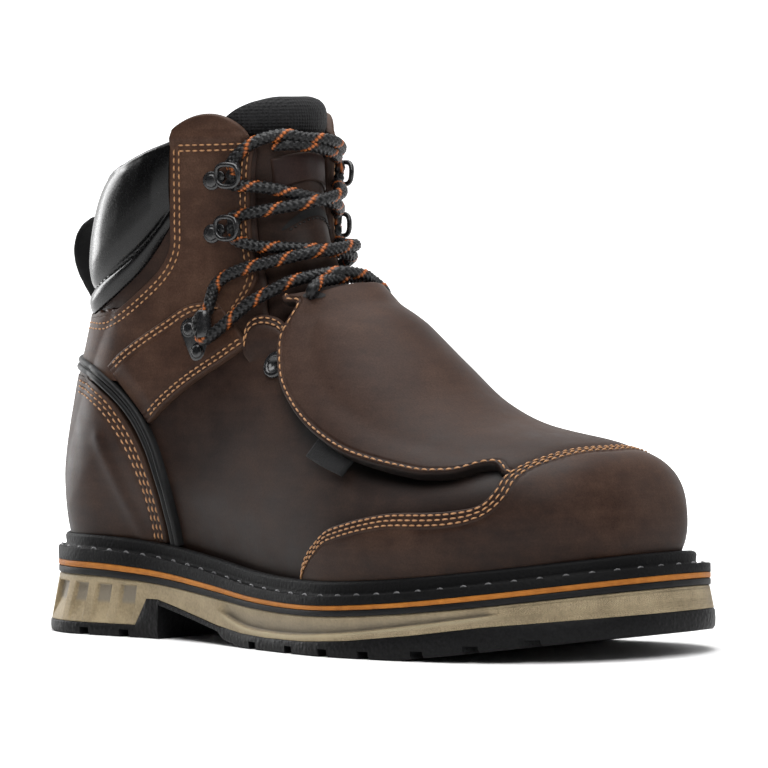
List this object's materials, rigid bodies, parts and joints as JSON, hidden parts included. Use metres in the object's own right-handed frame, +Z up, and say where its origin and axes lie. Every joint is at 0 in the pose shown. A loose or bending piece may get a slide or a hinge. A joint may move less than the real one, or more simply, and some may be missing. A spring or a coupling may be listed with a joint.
{
  "type": "work boot",
  "caption": "Six-inch lace-up leather work boot with a wing toe cap, a padded guard over the instep, a padded collar and a welted lugged sole.",
  "frame": {"origin": "on the ground under the middle of the heel, 52 mm ahead of the back of the sole", "axes": "+X towards the toe, +Y towards the inner (medial) side of the foot, +Z up"},
  "size_m": [0.316, 0.1213, 0.2143],
  "materials": {
    "leather_brown": "oiled brown full-grain leather",
    "leather_dark": "darker oiled brown leather",
    "collar_black": "smooth semi-gloss black",
    "rubber_black": "matt black rubber",
    "rubber_tan": "matt tan moulded foam",
    "runner_orange": "matt orange-brown layer",
    "fabric_black": "black webbing",
    "insole_grey": "dark grey footbed cloth",
    "metal_black": "black enamelled steel",
    "lace_black": "round braided cord, black with orange flecks"
  },
  "bodies": {
    "root": {"upper": "leather_dark", "toe_cap": "leather_brown", "met_guard": "leather_brown", "heel_counter": "leather_brown", "counter_piping": "collar_black", "strap_lateral": "leather_brown", "strap_medial": "leather_brown", "quarter_lateral": "leather_brown", "quarter_medial": "leather_brown", "collar_pad": "collar_black", "tongue": "leather_dark", "hook_top_lateral": "metal_black", "hook_top_medial": "metal_black", "hook_mid_lateral": "metal_black", "hook_mid_medial": "metal_black", "hook_lock_lateral": "metal_black", "hook_lock_medial": "metal_black", "eyelet_lateral": "metal_black", "eyelet_medial": "metal_black", "lace": "lace_black", "pull_loop": "fabric_black", "guard_tag": "fabric_black", "insole": "insole_grey", "welt": "rubber_black", "runner": "runner_orange", "stripe": "rubber_black", "midsole": "rubber_tan", "outsole": "rubber_black"}
  },
  "joints": []
}
